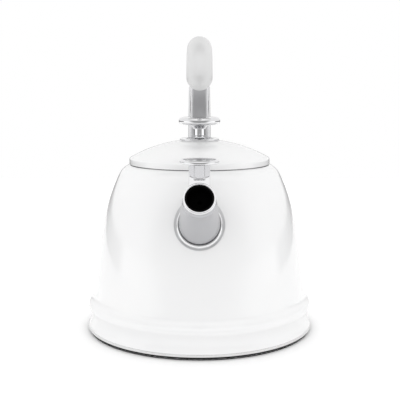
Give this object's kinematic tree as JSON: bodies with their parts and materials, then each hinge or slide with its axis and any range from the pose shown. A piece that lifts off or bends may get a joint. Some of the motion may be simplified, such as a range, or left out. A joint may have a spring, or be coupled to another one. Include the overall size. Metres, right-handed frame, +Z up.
{
  "type": "stovetop whistling kettle",
  "caption": "Bell-shaped enamelled stovetop kettle with a lift-off domed lid, a short raised spout with a pull-out whistle, and an arched carrying handle fixed at the rear.",
  "frame": {"origin": "middle of the base, on the surface the kettle stands on", "axes": "+Z up, -Y towards the spout, +Y towards the handle's foot"},
  "size_m": [0.1884, 0.2182, 0.2412],
  "materials": {
    "white_enamel": "high-gloss white enamel",
    "polished_steel": "polished stainless steel",
    "brushed_steel": "satin stainless steel",
    "aluminium": "plain rolled aluminium",
    "satin_chrome": "satin chrome plate",
    "bright_chrome": "bright chrome plate",
    "silicone": "matte dark grey silicone",
    "screw_steel": "plain stainless steel",
    "grip_plastic": "satin white nylon",
    "black_plastic": "glossy black heatproof plastic",
    "black_metal": "blackened steel sheet"
  },
  "bodies": {
    "kettle": {"body_shell": "white_enamel", "base_cap": "polished_steel", "pot_floor": "brushed_steel", "heat_spreader": "aluminium", "neck_ring": "polished_steel", "spout_tube": "satin_chrome", "spout_socket": "brushed_steel", "spout_collar": "satin_chrome", "handle_strap": "bright_chrome", "strap_gasket": "silicone", "backing_plate": "brushed_steel", "bracket_screws": "screw_steel", "grip_upper": "grip_plastic", "grip_lower": "grip_plastic", "grip_screws": "screw_steel"},
    "lid": {"lid_shell": "white_enamel", "lid_skirt": "brushed_steel", "lid_gasket": "silicone", "knob_flange": "bright_chrome", "knob_stem": "bright_chrome", "knob_disc": "bright_chrome", "knob_screw": "screw_steel", "knob_washer": "screw_steel"},
    "whistle": {"whistle_cap_ring": "satin_chrome", "whistle_barrel": "black_plastic", "whistle_seal": "silicone", "whistle_front_plate": "black_metal", "whistle_rear_plate": "black_metal", "whistle_tab": "bright_chrome", "whistle_thumb_disc": "bright_chrome"}
  },
  "joints": [
    {"name": "lid_lift", "type": "slide", "parent": "kettle", "child": "lid", "axis": [0, 0, 1], "range_m": [0, 0.038]},
    {"name": "whistle_pull", "type": "slide", "parent": "kettle", "child": "whistle", "axis": [0, -0.8526, 0.5225], "range_m": [0, 0.024]}
  ]
}
